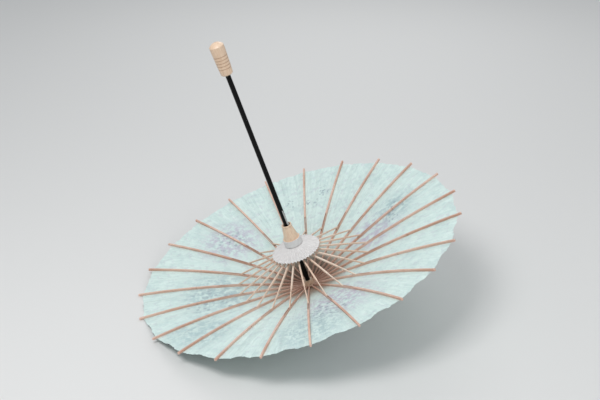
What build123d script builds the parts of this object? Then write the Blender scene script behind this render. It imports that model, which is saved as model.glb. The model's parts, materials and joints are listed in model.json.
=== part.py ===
from build123d import *
from math import asin, atan2, cos, degrees, hypot, radians, sin
import os

# Oil paper umbrella, open and lying on the floor on the edge of its crown head and two rib tips.
# Sizes are in mm. Heights ("h") run along the shaft from the ribs' pivots towards the grip.

# Driving sizes
rib_count = 23
tip_radius = 420.0  # shaft axis to the rib tips
tip_h = 105.0
joint_radius = 171.7  # shaft axis to the pins that join ribs and stretchers
joint_h = 52.5
pivot_radius = 16.0  # the cords that thread the ribs and the stretchers
shaft_radius = 6.0
grip_radius = 17.2
grip_h = 597.8
grip_length = 80.6

# Thicknesses and widths
rib_depth = 5.0
rib_width = 4.4
tongue_width = 2.2
stretcher_depth = 3.8
stretcher_width = 3.8
pin_radius = 0.7
cord_radius = 0.6
paper = 0.5
cap_paper = 0.6

# Crown head, the square block on the shaft's low end
head_width = 40.0
head_thick = 13.0
head_bevel = 2.0
head_low = -31.9
head_neck = 9.5

# Fits and clearances
pin_fit = 0.05
cord_fit = 0.2
slot_play = 0.5  # slot width over tongue width
end_play = 0.35  # round a tongue's end
runner_fit = 0.1
paper_gap = 0.25
latch_play = 0.3

# Followed sizes
pitch = 360 / rib_count
half_pitch = radians(pitch / 2)
joint_above_centre = 1.3
hub_radius = 20.0
hub_web = 3.0
core_radius = pivot_radius - rib_depth / 2 - end_play
runner_pivot_h = 2 * joint_h

# The rib's gentle curve, from pivot to tip, with the two corners of its outer end
rib_line = ThreePointArc(
    (pivot_radius, 0),
    (joint_radius, joint_h - joint_above_centre),
    (tip_radius, tip_h),
)
tip_way = rib_line % 1
tip_low = (tip_radius + tip_way.Y * rib_depth / 2, tip_h - tip_way.X * rib_depth / 2)
tip_high = (tip_radius - tip_way.Y * rib_depth / 2, tip_h + tip_way.X * rib_depth / 2)

# Lying on the floor: it meets the head's edge and the two lowest rib tips
rib_side = rib_width / 2 * sin(half_pitch)
foot_reach = tip_low[0] * cos(half_pitch) + rib_side
head_edge = head_width / 2 - head_bevel
lean = degrees(atan2(tip_low[1] - head_low, foot_reach - head_edge))
lean_sin = sin(radians(lean))
lean_cos = cos(radians(lean))
left_x = -(tip_high[0] * cos(half_pitch) + rib_side) * lean_cos - tip_high[1] * lean_sin
right_x = tip_low[0] * lean_cos - tip_low[1] * lean_sin
shift_x = -(left_x + right_x) / 2
shift_z = foot_reach * lean_sin - tip_low[1] * lean_cos
shaft_plane = Plane(
    origin=(shift_x, 0, shift_z),
    x_dir=(lean_cos, 0, lean_sin),
    z_dir=(-lean_sin, 0, lean_cos),
)
shaft_axis = Axis(shaft_plane.origin, shaft_plane.z_dir)


def turned(turn):
    """The shaft's plane, turned about the shaft."""
    across = shaft_plane.x_dir.rotate(shaft_axis, turn)
    return Plane(origin=shaft_plane.origin, x_dir=across, z_dir=shaft_plane.z_dir)


def side_plane(turn):
    """The plane through the shaft that faces sideways: across is radius, up is height."""
    base = turned(turn)
    return Plane(origin=base.origin, x_dir=base.x_dir, z_dir=-base.y_dir)


def export(part, name):
    part.label = name
    export_step(part, f"parts/{name}.step")


os.makedirs("parts", exist_ok=True)

narrow_end = 62.0  # radius where the rib starts to widen
wide_start = 150.0
slot_in = 12.0  # the joint slot, inwards and outwards of its pin
slot_out = 50.0
rib_slope = degrees(atan2(tip_h - joint_h, tip_radius - joint_radius))


def make_rib(turn):
    """One rib: a curved slat with a round tongue, a slot for its stretcher and the pin across it."""
    side = side_plane(turn)
    with BuildPart() as rib:
        with BuildSketch(side):
            with BuildLine():
                add(rib_line)
            trace(line_width=rib_depth)
            with Locations((pivot_radius, 0)):
                Circle(rib_depth / 2)
        extrude(amount=rib_width / 2, both=True)
        with BuildSketch(turned(turn).offset(-rib_depth)):
            with BuildLine():
                Polyline(
                    (0, 0),
                    (0, tongue_width / 2),
                    (narrow_end, tongue_width / 2),
                    (wide_start, rib_width / 2),
                    (tip_radius + rib_depth, rib_width / 2),
                    (tip_radius + rib_depth, 0),
                )
                mirror(about=Plane.XZ)
            make_face()
        extrude(amount=tip_h + 3 * rib_depth, mode=Mode.INTERSECT)
        with BuildSketch(side):
            with Locations((joint_radius, joint_h)):
                with Locations(Rotation(0, 0, rib_slope)):
                    with Locations(((slot_out - slot_in) / 2, 0)):
                        Rectangle(slot_in + slot_out, 3 * rib_depth)
        extrude(amount=(tongue_width + slot_play) / 2, both=True, mode=Mode.SUBTRACT)
        with BuildSketch(side):
            with Locations((joint_radius, joint_h)):
                Circle(pin_radius)
        extrude(amount=rib_width / 2, both=True)
        with BuildSketch(side):
            with Locations((pivot_radius, 0)):
                Circle(cord_radius + cord_fit)
        extrude(amount=rib_width, both=True, mode=Mode.SUBTRACT)
    return rib.part


stretcher_slope = degrees(atan2(runner_pivot_h - joint_h, pivot_radius - joint_radius))
stretcher_length = hypot(joint_radius - pivot_radius, runner_pivot_h - joint_h)
stretcher_wide = (slot_out + 4.0, stretcher_length - 26.0)  # where it is full width


def make_stretcher(turn):
    """One stretcher: a straight slat with a thin tongue at both ends."""
    side = side_plane(turn)
    with BuildPart() as stretcher:
        with BuildSketch(side):
            with BuildLine():
                Line((joint_radius, joint_h), (pivot_radius, runner_pivot_h))
            trace(line_width=stretcher_depth)
            with Locations((joint_radius, joint_h), (pivot_radius, runner_pivot_h)):
                Circle(stretcher_depth / 2)
        extrude(amount=tongue_width / 2, both=True)
        with BuildSketch(side):
            with Locations((joint_radius, joint_h)):
                with Locations(Rotation(0, 0, stretcher_slope)):
                    with Locations((sum(stretcher_wide) / 2, 0)):
                        Rectangle(stretcher_wide[1] - stretcher_wide[0], stretcher_depth)
        extrude(amount=stretcher_width / 2, both=True)
        with BuildSketch(side):
            with Locations((joint_radius, joint_h)):
                Circle(pin_radius + pin_fit)
            with Locations((pivot_radius, runner_pivot_h)):
                Circle(cord_radius + cord_fit)
        extrude(amount=stretcher_width, both=True, mode=Mode.SUBTRACT)
    return stretcher.part


for number in range(rib_count):
    export(make_rib(number * pitch), f"rib_{number + 1:02d}")
    export(make_stretcher(number * pitch), f"stretcher_{number + 1:02d}")

# Shaft: a lacquered rod with a slot for the spring catch
shaft_low = -18.0
shaft_high = grip_h + grip_length - 22.0
latch_h = 181.0
latch_length = 40.0
latch_width = 2.4
latch_rise = 4.0
latch_deep = 4.0
latch_turn = -55.0
latch_pin_h = latch_h + latch_length - 3.0
latch_pin_x = shaft_radius - 2.6
with BuildPart() as shaft:
    with BuildSketch(shaft_plane.offset(shaft_low)):
        Circle(shaft_radius)
    extrude(amount=shaft_high - shaft_low)
    with BuildSketch(side_plane(latch_turn)):
        with Locations((shaft_radius, latch_h + latch_length / 2)):
            Rectangle(4 * latch_deep, latch_length + 4)
    extrude(amount=latch_width / 2 + latch_play, both=True, mode=Mode.SUBTRACT)
    with BuildSketch(side_plane(latch_turn)):
        with Locations((latch_pin_x, latch_pin_h)):
            Circle(pin_radius)
    extrude(amount=shaft_radius - 1.5, both=True)
export(shaft.part, "shaft")

# Spring catch: a small wedge that stands out of the shaft just above the runner
with BuildPart() as latch:
    with BuildSketch(side_plane(latch_turn)):
        with BuildLine():
            Polyline(
                (shaft_radius + latch_rise, latch_h),
                (shaft_radius + latch_rise, latch_h + 3),
                (shaft_radius + 0.2, latch_h + latch_length),
                (latch_pin_x - 1.4, latch_h + latch_length),
                (shaft_radius - 2.2, latch_h),
                close=True,
            )
        make_face()
    extrude(amount=latch_width / 2, both=True)
    with BuildSketch(side_plane(latch_turn)):
        with Locations((latch_pin_x, latch_pin_h)):
            Circle(pin_radius + pin_fit)
    extrude(amount=latch_width, both=True, mode=Mode.SUBTRACT)
export(latch.part, "latch")

# Grip: turned wood with a domed end and shallow grooves
grip_top = grip_h + grip_length
grip_mouth_radius = 12.4
grip_lip = (14.3, 2.2)  # radius and height over the grip's foot
grip_waist = (15.4, 18.0)
grip_swell = 62.0
groove_count = 5
groove_first = 17.0
groove_pitch = 7.6
groove_radius = 1.0
groove_out = 0.35  # how far the groove's centre stands out of the wood
grip_flare = (grip_radius - grip_waist[0]) / (grip_swell - grip_waist[1])
dome_height = 9.0
dome_h = grip_top - dome_height
dome_radius = (grip_radius**2 + dome_height**2) / (2 * dome_height)
dome_half = asin(grip_radius / dome_radius) / 2
with BuildPart() as grip:
    with BuildSketch(side_plane(0)):
        with BuildLine():
            Polyline(
                (0, grip_h),
                (grip_mouth_radius, grip_h),
                (grip_lip[0], grip_h + grip_lip[1]),
                (grip_waist[0], grip_h + grip_waist[1]),
                (grip_radius, grip_h + grip_swell),
                (grip_radius, dome_h),
            )
            ThreePointArc(
                (grip_radius, dome_h),
                (dome_radius * sin(dome_half), grip_top - dome_radius * (1 - cos(dome_half))),
                (0, grip_top),
            )
            Line((0, grip_top), (0, grip_h))
        make_face()
    revolve(axis=shaft_axis)
    with BuildSketch(shaft_plane.offset(grip_h)):
        Circle(shaft_radius)
    extrude(amount=shaft_high - grip_h, mode=Mode.SUBTRACT)
    for groove in range(groove_count):
        above = groove_first + groove * groove_pitch
        surface = grip_waist[0] + grip_flare * (above - grip_waist[1])
        with BuildSketch(side_plane(0)):
            with Locations((surface + groove_out, grip_h + above)):
                Circle(groove_radius)
        revolve(axis=shaft_axis, mode=Mode.SUBTRACT)
export(grip.part, "grip")


def slotted_hub(low, web_low, slot_h):
    """A flange with one radial slot for each tongue, open on the side away from its web."""
    with BuildPart() as hub:
        with BuildSketch(shaft_plane.offset(min(low, web_low))):
            Circle(hub_radius)
        extrude(amount=2 * (rib_depth / 2 + end_play) + hub_web)
        for number in range(rib_count):
            with BuildSketch(turned(number * pitch).offset(low)):
                with Locations((core_radius + hub_radius / 2, 0)):
                    Rectangle(hub_radius, tongue_width + slot_play)
            extrude(amount=slot_h, mode=Mode.SUBTRACT)
    return hub.part


# Top notch: the ribs' hub, fixed on the shaft
slot_depth = 2 * (rib_depth / 2 + end_play)
notch_low = -slot_depth / 2 - hub_web
with BuildPart() as top_notch:
    add(slotted_hub(notch_low + hub_web, notch_low, slot_depth))
    with BuildSketch(shaft_plane.offset(slot_depth / 2)):
        Circle(core_radius)
    extrude(amount=8, taper=12)
    with BuildSketch(shaft_plane.offset(2 * notch_low)):
        Circle(shaft_radius)
    extrude(amount=60, mode=Mode.SUBTRACT)
    with BuildSketch(side_plane(0)):
        with Locations((pivot_radius, 0)):
            Circle(cord_radius)
    revolve(axis=shaft_axis, mode=Mode.SUBTRACT)
export(top_notch.part, "top_notch")


def cord_ring(height):
    """The cord that threads a hub and its tongues."""
    with BuildPart() as ring:
        with BuildSketch(side_plane(0)):
            with Locations((pivot_radius, height)):
                Circle(cord_radius)
        revolve(axis=shaft_axis)
    return ring.part


export(cord_ring(0), "notch_cord")
export(cord_ring(runner_pivot_h), "runner_cord")

# Crown head under the notch: a square block on a round neck
with BuildPart() as finial:
    with BuildSketch(shaft_plane.offset(head_low)):
        Rectangle(head_width, head_width)
    extrude(amount=head_thick)
    chamfer(finial.edges(), length=head_bevel)
    with BuildSketch(shaft_plane.offset(notch_low)):
        Circle(head_neck)
    extrude(amount=head_low + head_thick / 2 - notch_low)
    with BuildSketch(shaft_plane.offset(notch_low)):
        Circle(shaft_radius)
    extrude(amount=shaft_low - notch_low, mode=Mode.SUBTRACT)
export(finial.part, "finial")

# Paper cap pasted over the ribs' roots
cap_in = (head_neck + 0.1, notch_low - 1.6)
cap_mid = (hub_radius + 1.0, notch_low - 0.9)
cap_out = (44.0, 4.6)
with BuildPart() as crown_cap:
    with BuildSketch(side_plane(0)):
        with BuildLine():
            Polyline(
                cap_in,
                cap_mid,
                cap_out,
                (cap_out[0], cap_out[1] - cap_paper),
                (cap_mid[0], cap_mid[1] - cap_paper),
                (cap_in[0], cap_in[1] - cap_paper),
                close=True,
            )
        make_face()
    revolve(axis=shaft_axis)
export(crown_cap.part, "crown_cap")


def below_rib(share, gap):
    """The point this far below the rib's centreline, narrowed to the middle between two ribs."""
    along = rib_line % share
    point = rib_line @ share
    return ((point.X + along.Y * gap) * cos(half_pitch), point.Y - along.X * gap)


# Canopy: paper stretched straight from rib to rib, its rim drawn in between them
rim_radius = tip_radius - 7.0
rim_dip = 2.8
canopy_start = 0.013
paper_top = rib_depth / 2 + paper_gap
paper_low = paper_top + paper
gore_reach = 2 * tip_radius * sin(half_pitch)
with BuildPart() as gore:
    with BuildSketch(side_plane(pitch / 2)):
        with BuildLine():
            ThreePointArc(*[below_rib(share, paper_top) for share in (canopy_start, 0.5, 1)])
            Line(below_rib(1, paper_top), below_rib(1, paper_low))
            ThreePointArc(*[below_rib(share, paper_low) for share in (canopy_start, 0.5, 1)])
            Line(below_rib(canopy_start, paper_top), below_rib(canopy_start, paper_low))
        make_face()
    extrude(amount=gore_reach, both=True)
    with BuildSketch(turned(pitch / 2).offset(-tip_h)):
        with BuildLine():
            Polyline(
                (0, 0),
                (rim_radius * cos(half_pitch), -rim_radius * sin(half_pitch)),
                (rim_radius * cos(half_pitch) - rim_dip, 0),
                (rim_radius * cos(half_pitch), rim_radius * sin(half_pitch)),
                close=True,
            )
        make_face()
    extrude(amount=3 * tip_h, mode=Mode.INTERSECT)
with BuildPart() as canopy:
    for number in range(rib_count):
        add(gore.part.rotate(shaft_axis, number * pitch))
export(canopy.part, "canopy")

# Runner: slotted flange, neck, seat for the paper band and a turned cone
runner_low = runner_pivot_h - slot_depth / 2
flange_h = runner_pivot_h + slot_depth / 2 + hub_web
band_low = flange_h + 13.0
band_high = band_low + 17.0
runner_top = 179.3
seat_radius = 20.8
band_radius = 22.0
neck_radius = 18.0
mouth_radius = 9.6
with BuildPart() as runner:
    add(slotted_hub(runner_low, runner_low, slot_depth))
    with BuildSketch(side_plane(0)):
        with BuildLine():
            Polyline(
                (0, flange_h),
                (neck_radius, flange_h),
                (neck_radius, band_low),
                (seat_radius, band_low),
                (seat_radius, band_high),
                (18.6, band_high),
                (18.2, band_high + 3),
                (12.2, runner_top - 5),
                (12.9, runner_top - 2.8),
                (12.5, runner_top),
                (0, runner_top),
                close=True,
            )
        make_face()
    revolve(axis=shaft_axis)
    with BuildSketch(shaft_plane.offset(runner_low - 1)):
        Circle(shaft_radius + runner_fit)
    extrude(amount=runner_top - runner_low + 2, mode=Mode.SUBTRACT)
    with BuildSketch(shaft_plane.offset(runner_top)):
        Circle(mouth_radius)
    extrude(amount=-18, taper=6, mode=Mode.SUBTRACT)
    with BuildSketch(side_plane(0)):
        with Locations((pivot_radius, runner_pivot_h)):
            Circle(cord_radius)
    revolve(axis=shaft_axis, mode=Mode.SUBTRACT)
export(runner.part, "runner")

with BuildPart() as runner_band:
    with BuildSketch(shaft_plane.offset(band_low)):
        Circle(band_radius)
        Circle(seat_radius, mode=Mode.SUBTRACT)
    extrude(amount=band_high - band_low)
export(runner_band.part, "runner_band")

# Skirt: the paper collar over the stretchers' inner ends
skirt_radius = 62.0
skirt_h = 105.5
with BuildPart() as runner_skirt:
    with BuildSketch(side_plane(0)):
        with BuildLine():
            Polyline(
                (neck_radius, band_low - 0.2),
                (skirt_radius, skirt_h),
                (skirt_radius, skirt_h - cap_paper),
                (neck_radius, band_low - 0.2 - cap_paper),
                close=True,
            )
        make_face()
    revolve(axis=shaft_axis)
export(runner_skirt.part, "runner_skirt")
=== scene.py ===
"""Oil paper umbrella, lying open on its crown: paper, bamboo, turned wood and lacquer round the fixed frame."""

import json
import math

import bpy
import numpy as np
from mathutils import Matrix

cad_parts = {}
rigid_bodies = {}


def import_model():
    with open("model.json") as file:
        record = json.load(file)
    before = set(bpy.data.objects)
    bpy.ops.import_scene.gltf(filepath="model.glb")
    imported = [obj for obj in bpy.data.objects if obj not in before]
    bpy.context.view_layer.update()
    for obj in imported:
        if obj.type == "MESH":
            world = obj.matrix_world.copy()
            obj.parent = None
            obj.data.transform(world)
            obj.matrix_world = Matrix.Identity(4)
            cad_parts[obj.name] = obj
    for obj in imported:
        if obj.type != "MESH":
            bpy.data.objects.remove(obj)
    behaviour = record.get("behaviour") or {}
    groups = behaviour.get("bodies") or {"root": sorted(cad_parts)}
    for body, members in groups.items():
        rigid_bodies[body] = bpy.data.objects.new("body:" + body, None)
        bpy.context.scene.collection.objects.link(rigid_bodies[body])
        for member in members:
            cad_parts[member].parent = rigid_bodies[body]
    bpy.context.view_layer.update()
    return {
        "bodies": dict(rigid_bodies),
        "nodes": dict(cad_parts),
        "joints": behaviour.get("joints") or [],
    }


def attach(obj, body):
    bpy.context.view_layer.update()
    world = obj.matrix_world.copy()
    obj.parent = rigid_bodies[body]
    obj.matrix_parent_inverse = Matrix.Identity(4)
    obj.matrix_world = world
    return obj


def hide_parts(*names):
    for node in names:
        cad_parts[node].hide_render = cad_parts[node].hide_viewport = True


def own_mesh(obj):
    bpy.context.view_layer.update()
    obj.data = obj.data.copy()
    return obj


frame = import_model()

bl_info = {
    "name": "Oil Paper Umbrella",
    "version": (1, 0, 0),
    "blender": (4, 5, 0),
    "location": "3D View > Sidebar > Umbrella",
    "description": "Builds the paper, bamboo and wood of an open oil paper umbrella",
    "category": "Object",
}

# Places taken from the frame: the ribs' pivots and the stretchers' pins
RIB_BODIES = sorted(name for name in frame["bodies"] if name.startswith("rib_"))
RIB_COUNT = len(RIB_BODIES)
PITCH = 2 * math.pi / RIB_COUNT


def joint_of(body):
    """The joint that carries this body."""
    return next(joint for joint in frame["joints"] if joint["child"] == body)


RIB_JOINTS = [joint_of(body) for body in RIB_BODIES]
PIVOTS = np.array([joint["pos_m"] for joint in RIB_JOINTS])
CENTRE = PIVOTS.mean(0)
PIVOT_RADIUS = float(np.linalg.norm(PIVOTS[0] - CENTRE))
ACROSS = (PIVOTS[0] - CENTRE) / PIVOT_RADIUS
UP_SHAFT = np.cross(RIB_JOINTS[0]["axis"], ACROSS)
SIDEWAYS = np.cross(UP_SHAFT, ACROSS)
PIN = np.array(joint_of("stretcher_01")["pos_m"]) - CENTRE
PIN_RADIUS, PIN_HEIGHT = float(PIN @ ACROSS), float(PIN @ UP_SHAFT)

# The ribs' own sizes, as the CAD solids have them
TIP_RADIUS = 0.42
TIP_HEIGHT = 0.105
RIB_DEPTH = 0.0050
PIN_OVER_CENTRE = 0.0013
PAPER_GAP = 0.0003
GROOVE_FIRST, GROOVE_LAST, GROOVE_PITCH = 0.6148, 0.6452, 0.0076


def in_row(radius, angle, height):
    """Points of the shaft's own polar frame, as points of the row frame.

    Each is the centre + radius * direction + height * the shaft's own direction.
    """
    radius, angle, height = np.broadcast_arrays(radius, angle, height)
    return (
        CENTRE
        + (radius * np.cos(angle))[..., None] * ACROSS
        + (radius * np.sin(angle))[..., None] * SIDEWAYS
        + height[..., None] * UP_SHAFT
    )


def rib_arc():
    """Centre and radius of the circle through a rib's pivot, its middle under the pin and its tip."""
    points = np.array(
        [(PIVOT_RADIUS, 0), (PIN_RADIUS, PIN_HEIGHT - PIN_OVER_CENTRE), (TIP_RADIUS, TIP_HEIGHT)]
    )
    lhs = np.c_[2 * points, np.ones(3)]
    across, up, rest = np.linalg.solve(lhs, (points**2).sum(1))
    return across, up, math.sqrt(rest + across**2 + up**2)


ARC_ACROSS, ARC_UP, ARC_RADIUS = rib_arc()


def paper_height(radius, under=RIB_DEPTH / 2 + PAPER_GAP):
    """Height of a sheet that lies this far under the ribs' centreline: a circle's arc over the radius."""
    return ARC_UP + np.sqrt((ARC_RADIUS - under) ** 2 - (radius - ARC_ACROSS) ** 2)


def ripples(angle, radius, seed, waves, height):
    """Smooth wrinkles: a sum of cosines of whole multiples of the angle, whose phases drift with the radius."""
    random = np.random.default_rng(seed)
    total = np.zeros(np.broadcast(angle, radius).shape)
    for count in waves:
        phase, drift, beat = random.uniform(0, 2 * math.pi, 3)
        swing = np.cos(radius / TIP_RADIUS * (2 + 2 * drift) + beat)
        total += swing * np.cos(count * angle + phase + 1.3 * np.sin(9 * radius / TIP_RADIUS + drift))
    return height * total / math.sqrt(len(waves))


def new_object(name, points, closed_round=False):
    """A smooth mesh of quads between the neighbours of a rows by columns grid of points."""
    if closed_round:
        rows, columns = points.shape[0], points.shape[1]
        index = np.arange(rows * columns).reshape(rows, columns)
        index = np.c_[index, index[:, :1]]
    else:
        rows, columns = points.shape[:2]
        index = np.arange(rows * columns).reshape(rows, columns)
    quads = np.stack([index[:-1, :-1], index[1:, :-1], index[1:, 1:], index[:-1, 1:]], -1).reshape(-1, 4)
    mesh = bpy.data.meshes.new(name)
    mesh.vertices.add(points.shape[0] * points.shape[1])
    mesh.vertices.foreach_set("co", points.astype(np.float32).ravel())
    mesh.loops.add(quads.size)
    mesh.loops.foreach_set("vertex_index", quads.astype(np.int32).ravel())
    mesh.polygons.add(len(quads))
    mesh.polygons.foreach_set("loop_start", np.arange(0, quads.size, 4, dtype=np.int32))
    mesh.polygons.foreach_set("use_smooth", np.ones(len(quads), dtype=bool))
    mesh.update(calc_edges=True)
    mesh.validate()
    made = bpy.data.objects.new(name, mesh)
    bpy.context.scene.collection.objects.link(made)
    return made


# ---------------------------------------------------------------- shader node groups


class Nodes:
    """Short calls for adding and joining shader nodes."""

    def __init__(self, tree):
        self.tree = tree

    def add(self, kind, inputs=(), **settings):
        node = self.tree.nodes.new(kind)
        for key, value in settings.items():
            setattr(node, key, value)
        for socket, value in dict(inputs).items():
            self.feed(node.inputs[socket], value)
        return node

    def feed(self, socket, value):
        if isinstance(value, bpy.types.NodeSocket):
            self.tree.links.new(value, socket)
        else:
            socket.default_value = value

    def sum_of(self, operation, first, second=0.0, third=0.0, clamp=False):
        node = self.add("ShaderNodeMath", operation=operation, use_clamp=clamp)
        for socket, value in zip(node.inputs, (first, second, third)):
            self.feed(socket, value)
        return node.outputs[0]

    def dot(self, vector, direction):
        node = self.add("ShaderNodeVectorMath", operation="DOT_PRODUCT")
        self.feed(node.inputs[0], vector)
        self.feed(node.inputs[1], tuple(direction))
        return node.outputs["Value"]

    def steps(self, value, low, high, out_low=0.0, out_high=1.0):
        node = self.add("ShaderNodeMapRange", interpolation_type="SMOOTHSTEP")
        for socket, number in zip(node.inputs, (value, low, high, out_low, out_high)):
            self.feed(socket, number)
        return node.outputs[0]

    def blend(self, share, first, second, kind="MIX"):
        node = self.add("ShaderNodeMix", data_type="RGBA", blend_type=kind)
        self.feed(node.inputs["Factor"], share)
        self.feed(node.inputs["A"], first)
        self.feed(node.inputs["B"], second)
        return node.outputs["Result"]

    def noise(self, vector, scale, detail=3.0, roughness=0.55):
        node = self.add("ShaderNodeTexNoise")
        for socket, value in (("Vector", vector), ("Scale", scale), ("Detail", detail)):
            self.feed(node.inputs[socket], value)
        node.inputs["Roughness"].default_value = roughness
        return node.outputs["Fac"]

    def joined(self, x, y, z):
        node = self.add("ShaderNodeCombineXYZ")
        for socket, value in zip(node.inputs, (x, y, z)):
            self.feed(socket, value)
        return node.outputs[0]


def new_group(name, inputs, outputs):
    """An empty shader node group with these sockets: (name, kind, default)."""
    group = bpy.data.node_groups.new(name, "ShaderNodeTree")
    for label, kind, default in inputs:
        socket = group.interface.new_socket(label, in_out="INPUT", socket_type=kind)
        if default is not None:
            socket.default_value = default
    for label, kind in outputs:
        group.interface.new_socket(label, in_out="OUTPUT", socket_type=kind)
    nodes = Nodes(group)
    start = nodes.add("NodeGroupInput")
    end = nodes.add("NodeGroupOutput")
    return group, nodes, start, end


FLOAT, VECTOR, COLOUR = "NodeSocketFloat", "NodeSocketVector", "NodeSocketColor"


def shaft_frame_group():
    """Turns object coordinates into the shaft's frame: plan, height, radius and direction."""
    if "Shaft Frame" in bpy.data.node_groups:
        return bpy.data.node_groups["Shaft Frame"]
    group, nodes, start, end = new_group(
        "Shaft Frame",
        [("Vector", VECTOR, None)],
        [("Plan", VECTOR), ("Height", FLOAT), ("Radius", FLOAT), ("Direction", VECTOR)],
    )
    moved = nodes.add("ShaderNodeVectorMath", operation="SUBTRACT")
    nodes.feed(moved.inputs[0], start.outputs["Vector"])
    moved.inputs[1].default_value = tuple(CENTRE)
    across = nodes.dot(moved.outputs[0], ACROSS)
    sideways = nodes.dot(moved.outputs[0], SIDEWAYS)
    height = nodes.dot(moved.outputs[0], UP_SHAFT)
    plan = nodes.joined(across, sideways, 0.0)
    radius = nodes.add("ShaderNodeVectorMath", operation="LENGTH")
    nodes.feed(radius.inputs[0], plan)
    direction = nodes.add("ShaderNodeVectorMath", operation="NORMALIZE")
    nodes.feed(direction.inputs[0], plan)
    nodes.feed(end.inputs["Plan"], plan)
    nodes.feed(end.inputs["Height"], height)
    nodes.feed(end.inputs["Radius"], radius.outputs["Value"])
    nodes.feed(end.inputs["Direction"], direction.outputs[0])
    return group


def grain_group():
    """Fibres drawn out along one direction: a mask of fine streaks and one of broad ones."""
    if "Drawn Grain" in bpy.data.node_groups:
        return bpy.data.node_groups["Drawn Grain"]
    group, nodes, start, end = new_group(
        "Drawn Grain",
        [("Vector", VECTOR, None), ("Fine Scale", FLOAT, 8.0), ("Broad Scale", FLOAT, 2.0)],
        [("Fine", FLOAT), ("Broad", FLOAT)],
    )
    fine = nodes.noise(start.outputs["Vector"], start.outputs["Fine Scale"], 4.0, 0.6)
    broad = nodes.noise(start.outputs["Vector"], start.outputs["Broad Scale"], 2.0, 0.5)
    nodes.feed(end.inputs["Fine"], nodes.steps(fine, 0.3, 0.7))
    nodes.feed(end.inputs["Broad"], nodes.steps(broad, 0.3, 0.7))
    return group


def spray_group():
    """A painted spray: broken petals and dots inside one soft round patch of the canopy's plan."""
    if "Painted Spray" in bpy.data.node_groups:
        return bpy.data.node_groups["Painted Spray"]
    group, nodes, start, end = new_group(
        "Painted Spray",
        [
            ("Plan", VECTOR, None),
            ("Place", VECTOR, (0, 0, 0)),
            ("Reach", FLOAT, 0.05),
            ("Stretch", VECTOR, (1, 1, 1)),
            ("Petal Scale", FLOAT, 90.0),
        ],
        [("Mask", FLOAT), ("Patch", FLOAT)],
    )
    away = nodes.add("ShaderNodeVectorMath", operation="SUBTRACT")
    nodes.feed(away.inputs[0], start.outputs["Plan"])
    nodes.feed(away.inputs[1], start.outputs["Place"])
    shaped = nodes.add("ShaderNodeVectorMath", operation="MULTIPLY")
    nodes.feed(shaped.inputs[0], away.outputs[0])
    nodes.feed(shaped.inputs[1], start.outputs["Stretch"])
    distance = nodes.add("ShaderNodeVectorMath", operation="LENGTH")
    nodes.feed(distance.inputs[0], shaped.outputs[0])
    share = nodes.sum_of("DIVIDE", distance.outputs["Value"], start.outputs["Reach"])
    patch = nodes.steps(share, 1.1, 0.25)
    warp = nodes.noise(start.outputs["Plan"], 40.0, 3.0)
    petals = nodes.add("ShaderNodeTexVoronoi", feature="F1")
    nodes.feed(petals.inputs["Vector"], start.outputs["Plan"])
    nodes.feed(petals.inputs["Scale"], start.outputs["Petal Scale"])
    rim = nodes.sum_of("ADD", petals.outputs["Distance"], nodes.sum_of("MULTIPLY", warp, 0.5))
    marks = nodes.steps(rim, 0.72, 0.5)
    nodes.feed(end.inputs["Mask"], nodes.sum_of("MULTIPLY", patch, marks))
    nodes.feed(end.inputs["Patch"], patch)
    return group


def placed(nodes, group, **inputs):
    """A node group set in a material, with its inputs by name (underscores for spaces)."""
    node = nodes.add("ShaderNodeGroup", node_tree=group)
    for label, value in inputs.items():
        nodes.feed(node.inputs[label.replace("_", " ")], value)
    return node


def new_material(name, roughness, **shader_settings):
    """A material with one Principled shader; returns its node helper, its shader and its shaft frame node."""
    material = bpy.data.materials.new(name)
    material.use_nodes = True
    material.node_tree.nodes.clear()
    nodes = Nodes(material.node_tree)
    shader = nodes.add("ShaderNodeBsdfPrincipled")
    shader.inputs["Roughness"].default_value = roughness
    for label, value in shader_settings.items():
        shader.inputs[label.replace("_", " ")].default_value = value
    output = nodes.add("ShaderNodeOutputMaterial")
    nodes.feed(output.inputs["Surface"], shader.outputs[0])
    coordinates = nodes.add("ShaderNodeTexCoord")
    shaft = placed(nodes, shaft_frame_group(), Vector=coordinates.outputs["Object"])
    return material, nodes, shader, shaft


def bumped(nodes, shader, height, distance, strength=1.0):
    """Feeds a height through a Bump node to the shader's normal."""
    bump = nodes.add("ShaderNodeBump")
    bump.inputs["Distance"].default_value = distance
    bump.inputs["Strength"].default_value = strength
    nodes.feed(bump.inputs["Height"], height)
    nodes.feed(shader.inputs["Normal"], bump.outputs[0])


# Painted sprays: place across and sideways on the canopy, reach, stretch and petal scale
SPRAYS = (
    ((0.273, 0.086), 0.042, (1.0, 1.5), 95.0),
    ((0.255, 0.045), 0.034, (1.6, 0.9), 110.0),
    ((0.118, 0.281), 0.034, (1.4, 1.0), 130.0),
    ((0.072, 0.262), 0.030, (1.0, 1.3), 120.0),
    ((0.020, 0.285), 0.026, (1.2, 1.0), 130.0),
    ((-0.165, 0.215), 0.060, (1.0, 1.1), 80.0),
    ((-0.24, -0.04), 0.090, (1.0, 1.0), 70.0),
    ((0.03, -0.25), 0.085, (1.0, 1.2), 75.0),
)

# Faded washes under the sprays: place across and sideways, reach, and whether it is lilac
WASHES = (
    ((-0.165, 0.215), 0.105, True),
    ((0.20, 0.03), 0.090, True),
    ((0.06, -0.22), 0.120, True),
    ((-0.22, 0.00), 0.130, False),
    ((-0.27, -0.18), 0.110, False),
    ((-0.02, -0.33), 0.120, False),
    ((0.27, 0.08), 0.070, False),
)


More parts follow.
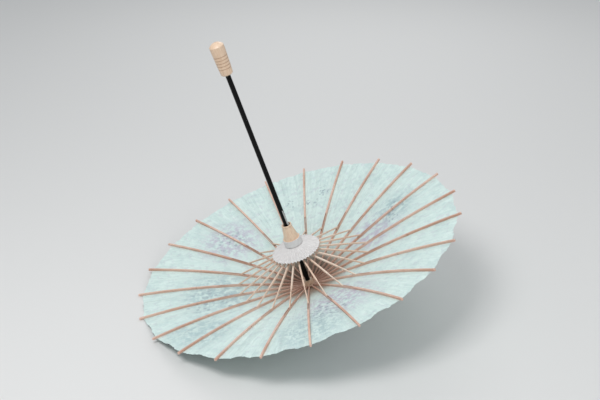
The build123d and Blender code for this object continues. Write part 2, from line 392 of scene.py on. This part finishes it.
def oiled_paper(settings):
    """Pale oiled paper: clouds of faded paint, painted sprays, radial streaks and fibres."""
    material, nodes, shader, shaft = new_material(
        "Oiled Paper", 0.5, Coat_Weight=0.12, Coat_Roughness=0.35
    )
    plan, direction = shaft.outputs["Plan"], shaft.outputs["Direction"]
    radius = shaft.outputs["Radius"]
    split = nodes.add("ShaderNodeSeparateXYZ")
    nodes.feed(split.inputs[0], direction)
    radial = nodes.joined(split.outputs[0], split.outputs[1], nodes.sum_of("MULTIPLY", radius, 0.35))
    streaks = placed(nodes, grain_group(), Vector=radial, Fine_Scale=75.0, Broad_Scale=22.0)
    fibres = placed(nodes, grain_group(), Vector=plan, Fine_Scale=420.0, Broad_Scale=120.0)
    clouds = nodes.noise(plan, 22.0, 6.0, 0.7)
    mottle = nodes.noise(plan, 62.0, 6.0, 0.75)
    tint = nodes.noise(plan, 60.0, 4.0, 0.6)
    ground, blue, lilac = tuple(settings.paper), tuple(settings.blue_wash), tuple(settings.lilac_wash)
    faint = nodes.sum_of("MULTIPLY", nodes.steps(clouds, 0.5, 0.62), 0.3)
    colour = nodes.blend(faint, ground, blue)
    blush = nodes.sum_of("MULTIPLY", nodes.steps(tint, 0.54, 0.62), 0.3)
    colour = nodes.blend(blush, colour, lilac)
    for place, reach, is_lilac in WASHES:
        wash = placed(
            nodes, spray_group(), Plan=plan, Place=(*place, 0), Reach=reach, Petal_Scale=38.0
        )
        broken = nodes.sum_of("MULTIPLY", wash.outputs["Patch"], nodes.steps(mottle, 0.42, 0.56))
        share = nodes.sum_of("MULTIPLY", broken, settings.wash_strength)
        colour = nodes.blend(share, colour, lilac if is_lilac else blue)
    for place, reach, stretch, scale in SPRAYS:
        spray = placed(
            nodes,
            spray_group(),
            Plan=plan,
            Place=(*place, 0),
            Reach=reach,
            Stretch=(*stretch, 1),
            Petal_Scale=scale,
        )
        share = nodes.sum_of("MULTIPLY", spray.outputs["Mask"], settings.spray_strength)
        colour = nodes.blend(share, colour, tuple(settings.spray))
    streak_share = nodes.sum_of("MULTIPLY", streaks.outputs["Fine"], nodes.steps(radius, 0.1, 0.4, 0.25, 0.6))
    colour = nodes.blend(streak_share, colour, tuple(settings.streak))
    mottle_share = nodes.sum_of("MULTIPLY", nodes.steps(mottle, 0.6, 0.36), 0.35)
    colour = nodes.blend(mottle_share, colour, tuple(settings.streak))
    fibre_share = nodes.sum_of("MULTIPLY", fibres.outputs["Fine"], 0.2)
    colour = nodes.blend(fibre_share, colour, tuple(settings.fibre))
    # Painted shade with brown print: towards the notch the paper turns dark brown, partly the brown print round
    # the crown and partly shade under the skirt and runner painted into the colour.
    ragged = nodes.sum_of("ADD", radius, nodes.sum_of("MULTIPLY", clouds, 0.03))
    root = nodes.sum_of("MULTIPLY", nodes.steps(ragged, 0.15, 0.075), 0.85)
    colour = nodes.blend(root, colour, tuple(settings.root))
    nodes.feed(shader.inputs["Base Color"], colour)
    felt = nodes.sum_of("MULTIPLY", fibres.outputs["Broad"], 0.15)
    relief = nodes.sum_of("ADD", streaks.outputs["Broad"], felt)
    relief = nodes.sum_of("ADD", relief, nodes.sum_of("MULTIPLY", streaks.outputs["Fine"], 0.5))
    bumped(nodes, shader, relief, 0.0011)
    return material


def white_paper(settings):
    """Plain white paper with fine radial strokes of grey, a painted shade for the folds that follows random
    strokes, not the pleats.
    """
    material, nodes, shader, shaft = new_material("White Paper", 0.75)
    split = nodes.add("ShaderNodeSeparateXYZ")
    nodes.feed(split.inputs[0], shaft.outputs["Direction"])
    height = nodes.sum_of("MULTIPLY", shaft.outputs["Height"], 4.0)
    radial = nodes.joined(split.outputs[0], split.outputs[1], height)
    strokes = placed(nodes, grain_group(), Vector=radial, Fine_Scale=60.0, Broad_Scale=24.0)
    # Painted shade: grey mixed into the white along fine radial strokes, standing in for shade in the skirt's
    # folds.
    share = nodes.sum_of("MULTIPLY", strokes.outputs["Fine"], 0.55)
    colour = nodes.blend(share, tuple(settings.white), tuple(settings.white_fold_shade))
    nodes.feed(shader.inputs["Base Color"], colour)
    bumped(nodes, shader, strokes.outputs["Broad"], 0.0003)
    return material


def bamboo(name, colour, dark, fade):
    """Split bamboo: fibres along the slat, a paler skin in places and darker rings at the nodes."""
    material, nodes, shader, shaft = new_material(name, 0.48, Specular_IOR_Level=0.35)
    split = nodes.add("ShaderNodeSeparateXYZ")
    nodes.feed(split.inputs[0], shaft.outputs["Direction"])
    radius = shaft.outputs["Radius"]
    drawn = nodes.sum_of("MULTIPLY", shaft.outputs["Height"], 30.0)
    along = nodes.joined(
        nodes.sum_of("MULTIPLY", split.outputs[0], 3.0),
        nodes.sum_of("MULTIPLY", split.outputs[1], 3.0),
        nodes.sum_of("ADD", drawn, nodes.sum_of("MULTIPLY", radius, 0.6)),
    )
    grain = placed(nodes, grain_group(), Vector=along, Fine_Scale=40.0, Broad_Scale=3.0)
    body = nodes.noise(nodes.joined(split.outputs[0], split.outputs[1], radius), 9.0, 2.0)
    tone = nodes.blend(nodes.steps(body, 0.35, 0.65), colour, fade)
    tone = nodes.blend(nodes.sum_of("MULTIPLY", grain.outputs["Fine"], 0.4), tone, dark)
    jitter = nodes.sum_of("MULTIPLY", body, 0.05)
    ring = nodes.sum_of("PINGPONG", nodes.sum_of("ADD", radius, jitter), 0.075)
    mark = nodes.sum_of("MULTIPLY", nodes.steps(ring, 0.0016, 0.0004), 0.5)
    tone = nodes.blend(mark, tone, dark)
    tip = nodes.steps(radius, TIP_RADIUS - 0.004, TIP_RADIUS - 0.001)
    tone = nodes.blend(nodes.sum_of("MULTIPLY", tip, 0.5), tone, fade)
    nodes.feed(shader.inputs["Base Color"], tone)
    bumped(nodes, shader, grain.outputs["Fine"], 0.0002)
    return material


def turned_wood(settings):
    """Pale turned wood: grain along the shaft, faint cutter rings round it, and painted shade darkening the
    grip's grooves.
    """
    material, nodes, shader, shaft = new_material("Turned Wood", 0.42, Coat_Weight=0.15, Coat_Roughness=0.3)
    height = shaft.outputs["Height"]
    plan = shaft.outputs["Plan"]
    split = nodes.add("ShaderNodeSeparateXYZ")
    nodes.feed(split.inputs[0], plan)
    along = nodes.joined(split.outputs[0], split.outputs[1], nodes.sum_of("MULTIPLY", height, 0.06))
    grain = placed(nodes, grain_group(), Vector=along, Fine_Scale=700.0, Broad_Scale=160.0)
    rings = nodes.noise(nodes.joined(0.0, 0.0, height), 900.0, 2.0)
    pale = nodes.sum_of("MULTIPLY", grain.outputs["Broad"], 0.6)
    tone = nodes.blend(pale, tuple(settings.wood), tuple(settings.wood_pale))
    tone = nodes.blend(nodes.sum_of("MULTIPLY", grain.outputs["Fine"], 0.35), tone, tuple(settings.wood_grain_and_groove_shade))
    # Painted shade: the wood is darkened along each of the grip's grooves, where shade falls in the recesses.
    groove = nodes.sum_of("ADD", height, GROOVE_PITCH / 2 - GROOVE_FIRST)
    swing = nodes.sum_of("PINGPONG", groove, GROOVE_PITCH / 2)
    nearest = nodes.sum_of("ABSOLUTE", nodes.sum_of("SUBTRACT", swing, GROOVE_PITCH / 2))
    above = nodes.steps(height, GROOVE_FIRST - 0.003, GROOVE_FIRST - 0.002)
    below = nodes.steps(height, GROOVE_LAST + 0.003, GROOVE_LAST + 0.002)
    inside = nodes.sum_of("MULTIPLY", above, below)
    mark = nodes.sum_of("MULTIPLY", nodes.steps(nearest, 0.0016, 0.0007), nodes.sum_of("MULTIPLY", inside, 0.7))
    tone = nodes.blend(mark, tone, tuple(settings.wood_grain_and_groove_shade))
    nodes.feed(shader.inputs["Base Color"], tone)
    bumped(nodes, shader, rings, 0.00012)
    return material


def lacquer(settings):
    """Black lacquer with very faint brush marks along the rod."""
    material, nodes, shader, shaft = new_material(
        "Black Lacquer", 0.22, Specular_IOR_Level=0.1, Coat_Weight=0.06, Coat_Roughness=0.12
    )
    split = nodes.add("ShaderNodeSeparateXYZ")
    nodes.feed(split.inputs[0], shaft.outputs["Direction"])
    height = nodes.sum_of("MULTIPLY", shaft.outputs["Height"], 2.0)
    along = nodes.joined(split.outputs[0], split.outputs[1], height)
    marks = placed(nodes, grain_group(), Vector=along, Fine_Scale=14.0, Broad_Scale=5.0)
    share = nodes.sum_of("MULTIPLY", marks.outputs["Fine"], 0.3)
    colour = nodes.blend(share, tuple(settings.lacquer), (0.012, 0.012, 0.013, 1))
    nodes.feed(shader.inputs["Base Color"], colour)
    nodes.feed(shader.inputs["Roughness"], nodes.steps(marks.outputs["Broad"], 0.0, 1.0, 0.18, 0.3))
    return material


def plain_strip(name, colour, dark, roughness):
    """A small plain part with a little mottling."""
    material, nodes, shader, shaft = new_material(name, roughness)
    mottle = nodes.noise(shaft.outputs["Plan"], 300.0, 3.0)
    nodes.feed(shader.inputs["Base Color"], nodes.blend(nodes.steps(mottle, 0.3, 0.7), colour, dark))
    bumped(nodes, shader, mottle, 0.0001)
    return material


def dress(node_name, material):
    """Gives a CAD node its material."""
    node = frame["nodes"][node_name]
    node.data.materials.clear()
    node.data.materials.append(material)


# ---------------------------------------------------------------- settings


def colour_setting(name, description, default):
    return bpy.props.FloatVectorProperty(
        name=name, description=description, default=(*default, 1), size=4, subtype="COLOR", min=0, max=1
    )


def length_setting(name, description, default):
    return bpy.props.FloatProperty(
        name=name, description=description, default=default, subtype="DISTANCE", unit="LENGTH"
    )


class UmbrellaPaper(bpy.types.PropertyGroup):
    """Sizes and colours of the paper parts."""

    paper: colour_setting("Paper", "Oiled paper's ground colour", (0.72, 0.87, 0.82))
    blue_wash: colour_setting("Blue wash", "Faded blue paint showing through", (0.30, 0.45, 0.48))
    lilac_wash: colour_setting("Lilac wash", "Faded lilac paint showing through", (0.46, 0.38, 0.52))
    spray: colour_setting("Spray", "Painted petals and leaves", (0.13, 0.19, 0.27))
    streak: colour_setting("Streak", "Radial strokes in the paper", (0.50, 0.66, 0.64))
    fibre: colour_setting("Fibre", "White fibres in the paper", (0.86, 0.95, 0.92))
    # Root: partly brown print round the crown, partly painted shade under the skirt and runner.
    root: colour_setting("Root", "Darkened paper near the notch", (0.30, 0.19, 0.12))
    white: colour_setting("White", "Skirt and band paper", (0.80, 0.78, 0.77))
    # Grey of the painted shade in the skirt's folds.
    white_fold_shade: colour_setting("White in folds", "Skirt paper in its folds", (0.44, 0.42, 0.41))
    spray_strength: bpy.props.FloatProperty(
        name="Spray strength", description="How strongly the sprays show", default=0.8, min=0, max=1
    )
    wash_strength: bpy.props.FloatProperty(
        name="Wash strength", description="How strongly the faded washes show", default=0.9, min=0, max=1
    )
    rim_radius: length_setting("Rim radius", "Shaft to the paper's rim at a rib", 0.4105)
    rim_dip: length_setting("Rim dip", "How far the rim draws in between two ribs", 0.0028)
    crease: length_setting("Crease", "Height of the fold between two ribs, at the rim", 0.0016)
    wrinkle: length_setting("Wrinkle", "Height of the paper's wrinkles", 0.0006)
    rim_wave: length_setting("Rim wave", "Unevenness of the cut rim", 0.0013)


class UmbrellaWood(bpy.types.PropertyGroup):
    """Colours of the bamboo, wood and lacquer."""

    rib: colour_setting("Rib", "Ribs' bamboo", (0.66, 0.39, 0.29))
    rib_dark: colour_setting("Rib fibre", "Darker fibres of the ribs", (0.36, 0.18, 0.13))
    rib_fade: colour_setting("Rib skin", "Paler skin of the ribs", (0.84, 0.60, 0.49))
    stretcher: colour_setting("Stretcher", "Stretchers' bamboo", (0.82, 0.60, 0.46))
    stretcher_dark: colour_setting("Stretcher fibre", "Darker fibres of the stretchers", (0.52, 0.33, 0.24))
    stretcher_fade: colour_setting("Stretcher skin", "Paler skin of the stretchers", (0.90, 0.76, 0.64))
    wood: colour_setting("Wood", "Turned wood", (0.76, 0.55, 0.39))
    wood_pale: colour_setting("Pale wood", "Turned wood's pale bands", (0.86, 0.69, 0.53))
    # Dark wood: the grain's dark streaks, and the painted shade in the grip's grooves.
    wood_grain_and_groove_shade: colour_setting("Dark wood", "Turned wood's dark lines", (0.46, 0.28, 0.17))
    lacquer: colour_setting("Lacquer", "Shaft's lacquer", (0.003, 0.003, 0.003))


class UmbrellaStage(bpy.types.PropertyGroup):
    """Floor, lights and camera."""

    floor: colour_setting("Floor", "Plain floor", (0.72, 0.72, 0.71))
    azimuth: bpy.props.FloatProperty(
        name="Azimuth",
        description="Camera's direction round the umbrella",
        default=math.radians(-8.2),
        subtype="ANGLE",
        unit="ROTATION",
    )
    elevation: bpy.props.FloatProperty(
        name="Elevation",
        description="Camera's height over the horizon",
        default=math.radians(26.1),
        subtype="ANGLE",
        unit="ROTATION",
    )
    distance: length_setting("Distance", "Camera to the point that it looks at", 2.771)
    lens: bpy.props.FloatProperty(
        name="Lens", description="Focal length in millimetres", default=68.4, min=10, max=300
    )


# ---------------------------------------------------------------- pieces

RIB_GRID = (150, 41)  # quads' corners along a gore and across it


def gore_points(number, settings):
    """One gore, from crease to rib to crease.

    The paper is stretched straight between ribs, so a point that leaves its rib by an angle a has radius
    r * cos(h) / cos(h - |a|), with h half the ribs' pitch, at the height of the arc under the rib at r. A fold
    rises halfway between ribs, fine wrinkles and the rim's cut are whole waves of the angle.
    """
    along = np.linspace(0, 1, RIB_GRID[0])[:, None]
    across = np.linspace(-1, 1, RIB_GRID[1])[None, :]
    half = PITCH / 2
    off = np.sign(across) * np.abs(across) ** 0.9 * half
    angle = number * PITCH + off
    to_fold = np.abs(off) / half
    ragged = ripples(angle, np.full_like(angle, TIP_RADIUS), 5, (61, 83, 107, 151, 197, 263), settings.rim_wave)
    outer = settings.rim_radius + ragged * to_fold**0.5 - settings.rim_dip * to_fold**3
    inner = PIVOT_RADIUS + RIB_DEPTH
    station = inner + (outer - inner) * along
    radius = station * math.cos(half) / np.cos(half - np.abs(off))
    growth = station / TIP_RADIUS
    fold = settings.crease * growth * np.clip(1.6 * to_fold - 0.6, 0, 1) ** 1.3
    sag = -0.0012 * growth * np.sin(math.pi * to_fold) ** 2
    free = np.clip(to_fold * 5 - 0.35, 0, 1)
    fine = ripples(angle, station, 11, (46, 69, 92, 115, 161, 207), settings.wrinkle)
    tight = ripples(angle, station, 12, (253, 299, 345, 391), settings.wrinkle * 0.45)
    height = paper_height(station) + fold + sag + free * growth * (fine + tight)
    return in_row(radius, angle, height)


def fan_sheet(name, points, material, body, replaced):
    """Puts one paper piece in the scene, on its body, and hides the CAD node that it replaces."""
    piece = new_object(name, points)
    piece.data.materials.append(material)
    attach(piece, body)
    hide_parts(replaced)
    rows, columns = points.shape[:2]
    return piece


class UMBRELLA_OT_canopy(bpy.types.Operator):
    """Build the oiled paper canopy, one gore on each rib"""

    bl_idname = "umbrella.canopy"
    bl_label = "Paper Canopy"

    def execute(self, context):
        settings = context.scene.umbrella_paper
        material = oiled_paper(settings)
        for number, body in enumerate(RIB_BODIES):
            points = gore_points(number, settings)
            name = f"gore_{number + 1:02d}"
            gore = fan_sheet(name, points, material, body, "canopy")
            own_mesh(gore)
        return {"FINISHED"}


CAP_BEND = 0.0208  # where the cap leaves the notch's rim


def cap_height(radius):
    """Height of the crown cap: level under the notch, then a straight slope to the paper under the ribs."""
    return np.interp(radius, (0.0096, CAP_BEND, 0.044), (-0.0078, -0.0071, 0.0043))


class UMBRELLA_OT_crown(bpy.types.Operator):
    """Build the crown's paper cap, its middle on the notch and one leaf on each rib"""

    bl_idname = "umbrella.crown"
    bl_label = "Crown Cap"

    def execute(self, context):
        settings = context.scene.umbrella_paper
        material = bpy.data.materials["Oiled Paper"]
        radius = np.linspace(0.0096, CAP_BEND, 12)[:, None]
        angle = np.linspace(0, 2 * math.pi, 184, endpoint=False)[None, :]
        middle = new_object("cap_middle", in_row(radius, angle, cap_height(radius)), closed_round=True)
        middle.data.materials.append(material)
        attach(middle, "shaft")
        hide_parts("crown_cap")
        for number, body in enumerate(RIB_BODIES):
            radius = np.linspace(CAP_BEND, 0.044, 14)[:, None]
            angle = number * PITCH + np.linspace(-0.5, 0.5, 15)[None, :] * PITCH
            lift = ripples(angle, radius, 21, (46, 92, 138), 0.00015) * (radius - CAP_BEND) / 0.02
            points = in_row(radius, angle, cap_height(radius) + lift)
            leaf = fan_sheet(f"cap_leaf_{number + 1:02d}", points, material, body, "crown_cap")
            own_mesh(leaf)
        return {"FINISHED"}


SKIRT_IN = 0.0182
SKIRT_OUT = 0.062
SKIRT_TOP = 0.1235
SKIRT_RIM = 0.1051


def skirt_points(number, settings):
    """One leaf of the skirt: a shallow cone; its pleats are a folded wave of the angle, deeper at the rim."""
    along = np.linspace(0, 1, 40)[:, None]
    angle = (number + np.linspace(-0.5, 0.5, 49)[None, :]) * PITCH
    radius = SKIRT_IN + (SKIRT_OUT - SKIRT_IN) * along
    rim = 1 + 0.012 * along * (ripples(angle, radius, 33, (46, 69, 115), 1.0) - 1)
    wave = 2 * RIB_COUNT * angle
    pleat = np.arcsin(np.clip(0.97 * np.cos(wave), -1, 1)) / (math.pi / 2)
    fine = np.arcsin(np.clip(0.97 * np.cos(2 * wave + 1.1), -1, 1)) / (math.pi / 2)
    rise = 0.0017 * along**0.8 * pleat + 0.0003 * along * fine
    rise = rise + along * ripples(angle, radius, 35, (23, 46, 138, 161), 0.00035)
    height = SKIRT_TOP + (SKIRT_RIM - SKIRT_TOP) * along - 0.0012 * along * (1 - along)
    return in_row(radius * rim, angle, height + rise)


class UMBRELLA_OT_skirt(bpy.types.Operator):
    """Build the runner's pleated paper skirt and the paper band above it"""

    bl_idname = "umbrella.skirt"
    bl_label = "Skirt and Band"

    def execute(self, context):
        settings = context.scene.umbrella_paper
        material = white_paper(settings)
        for number in range(RIB_COUNT):
            points = skirt_points(number, settings)
            name = f"skirt_leaf_{number + 1:02d}"
            leaf = fan_sheet(name, points, material, "runner", "runner_skirt")
            radial = in_row(1.0, number * PITCH, 0.0) - CENTRE
            tuple(in_row(SKIRT_IN, number * PITCH, SKIRT_TOP))
            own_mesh(leaf)
        band = new_object("paper_band", band_points(), closed_round=True)
        band.data.materials.append(material)
        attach(band, "runner")
        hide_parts("runner_band")
        return {"FINISHED"}


def band_points():
    """The band: a thin upright loop, the wall's outline, swept round the shaft with soft pleats."""
    low, high, inner, outer = 0.1239, 0.1408, 0.0209, 0.0219
    up = np.linspace(low, high, 16)
    walls = np.r_[np.full(16, outer), np.full(16, inner), outer]
    heights = np.r_[up, up[::-1], low][:, None]
    angle = np.linspace(0, 2 * math.pi, 552, endpoint=False)[None, :]
    share = (heights - low) / (high - low)
    pleat = ripples(angle, heights * 3, 41, (46, 69, 92, 138), 0.00022)
    flare = 0.0009 * (1 - share) ** 2
    return in_row(walls[:, None] + pleat + flare, angle, heights + 0.0004 * np.cos(5 * angle) * share)


class UMBRELLA_OT_bamboo(bpy.types.Operator):
    """Give the ribs and stretchers their bamboo"""

    bl_idname = "umbrella.bamboo"
    bl_label = "Ribs and Stretchers"

    def execute(self, context):
        wood = context.scene.umbrella_wood
        rib = bamboo("Rib Bamboo", tuple(wood.rib), tuple(wood.rib_dark), tuple(wood.rib_fade))
        stretcher = bamboo(
            "Stretcher Bamboo", tuple(wood.stretcher), tuple(wood.stretcher_dark), tuple(wood.stretcher_fade)
        )
        for number in range(RIB_COUNT):
            dress(f"rib_{number + 1:02d}", rib)
            dress(f"stretcher_{number + 1:02d}", stretcher)
        return {"FINISHED"}


class UMBRELLA_OT_shaft(bpy.types.Operator):
    """Finish the shaft, grip, runner, notch, head, cords and catch"""

    bl_idname = "umbrella.shaft"
    bl_label = "Shaft and Wood"

    def execute(self, context):
        wood = context.scene.umbrella_wood
        dress("shaft", lacquer(wood))
        turned = turned_wood(wood)
        for name in ("grip", "finial", "top_notch", "runner"):
            dress(name, turned)
        cord = plain_strip("Waxed Cord", (0.50, 0.42, 0.30, 1), (0.36, 0.29, 0.20, 1), 0.8)
        for name in ("notch_cord", "runner_cord"):
            dress(name, cord)
        dress("latch", plain_strip("Catch", (0.52, 0.53, 0.52, 1), (0.42, 0.42, 0.41, 1), 0.4))
        return {"FINISHED"}


def area_light(name, place, target, size, power):
    """A square soft light that faces its target."""
    data = bpy.data.lights.new(name, "AREA")
    data.size = size
    data.energy = power
    lamp = bpy.data.objects.new(name, data)
    bpy.context.scene.collection.objects.link(lamp)
    lamp.location = place
    aim = np.array(target) - np.array(place)
    lamp.rotation_euler = bpy_vector(aim).to_track_quat("-Z", "Y").to_euler()


def bpy_vector(values):
    from mathutils import Vector

    return Vector([float(value) for value in values])


class UMBRELLA_OT_stage(bpy.types.Operator):
    """Set the plain floor, the soft lights and the camera"""

    bl_idname = "umbrella.stage"
    bl_label = "Stage"

    def execute(self, context):
        stage = context.scene.umbrella_stage
        reach = 6.0
        corners = np.array([[(-reach, -reach, 0), (reach, -reach, 0)], [(-reach, reach, 0), (reach, reach, 0)]])
        floor = new_object("floor", corners.transpose(1, 0, 2))
        floor_material = bpy.data.materials.new("Plain Floor")
        floor_material.use_nodes = True
        shader = floor_material.node_tree.nodes["Principled BSDF"]
        shader.inputs["Base Color"].default_value = tuple(stage.floor)
        shader.inputs["Roughness"].default_value = 0.7
        floor.data.materials.append(floor_material)
        world = bpy.data.worlds.new("Soft Room")
        world.use_nodes = True
        world.node_tree.nodes["Background"].inputs["Color"].default_value = (0.86, 0.89, 0.92, 1)
        world.node_tree.nodes["Background"].inputs["Strength"].default_value = 0.55
        context.scene.world = world
        middle = (0.0, 0.0, 0.15)
        area_light("Key", (-0.9, -0.9, 2.4), middle, 1.1, 34)
        area_light("Fill", (2.2, -1.4, 1.4), middle, 1.6, 12)
        area_light("Back", (0.6, 2.4, 1.8), middle, 1.6, 14)
        data = bpy.data.cameras.new("Camera")
        data.lens = stage.lens
        data.sensor_width = 36
        camera = bpy.data.objects.new("Camera", data)
        context.scene.collection.objects.link(camera)
        back = bpy_vector(
            (
                math.sin(stage.azimuth) * math.cos(stage.elevation),
                -math.cos(stage.azimuth) * math.cos(stage.elevation),
                math.sin(stage.elevation),
            )
        )
        camera.location = bpy_vector((0.0083, 0.0, 0.2705)) + back * stage.distance
        camera.rotation_euler = (-back).to_track_quat("-Z", "Y").to_euler()
        context.scene.camera = camera
        context.scene.view_settings.view_transform = "Standard"
        return {"FINISHED"}


class UMBRELLA_PT_panel(bpy.types.Panel):
    """The umbrella's sizes, colours and pieces"""

    bl_idname = "UMBRELLA_PT_panel"
    bl_label = "Oil Paper Umbrella"
    bl_space_type = "VIEW_3D"
    bl_region_type = "UI"
    bl_category = "Umbrella"

    def draw(self, context):
        for operator in OPERATORS:
            self.layout.operator(operator.bl_idname)
        scene = context.scene
        for settings in (scene.umbrella_paper, scene.umbrella_wood, scene.umbrella_stage):
            box = self.layout.box()
            for name in settings.__annotations__:
                box.prop(settings, name)


SETTINGS = (UmbrellaPaper, UmbrellaWood, UmbrellaStage)
OPERATORS = (
    UMBRELLA_OT_canopy,
    UMBRELLA_OT_crown,
    UMBRELLA_OT_skirt,
    UMBRELLA_OT_bamboo,
    UMBRELLA_OT_shaft,
    UMBRELLA_OT_stage,
)


def register():
    for kind in (*SETTINGS, *OPERATORS, UMBRELLA_PT_panel):
        bpy.utils.register_class(kind)
    bpy.types.Scene.umbrella_paper = bpy.props.PointerProperty(type=UmbrellaPaper)
    bpy.types.Scene.umbrella_wood = bpy.props.PointerProperty(type=UmbrellaWood)
    bpy.types.Scene.umbrella_stage = bpy.props.PointerProperty(type=UmbrellaStage)


def unregister():
    del bpy.types.Scene.umbrella_paper
    del bpy.types.Scene.umbrella_wood
    del bpy.types.Scene.umbrella_stage
    for kind in reversed((*SETTINGS, *OPERATORS, UMBRELLA_PT_panel)):
        bpy.utils.unregister_class(kind)


def main():
    register()
    bpy.ops.umbrella.canopy()
    bpy.ops.umbrella.crown()
    bpy.ops.umbrella.skirt()
    bpy.ops.umbrella.bamboo()
    bpy.ops.umbrella.shaft()
    bpy.ops.umbrella.stage()


if __name__ == "__main__":
    main()
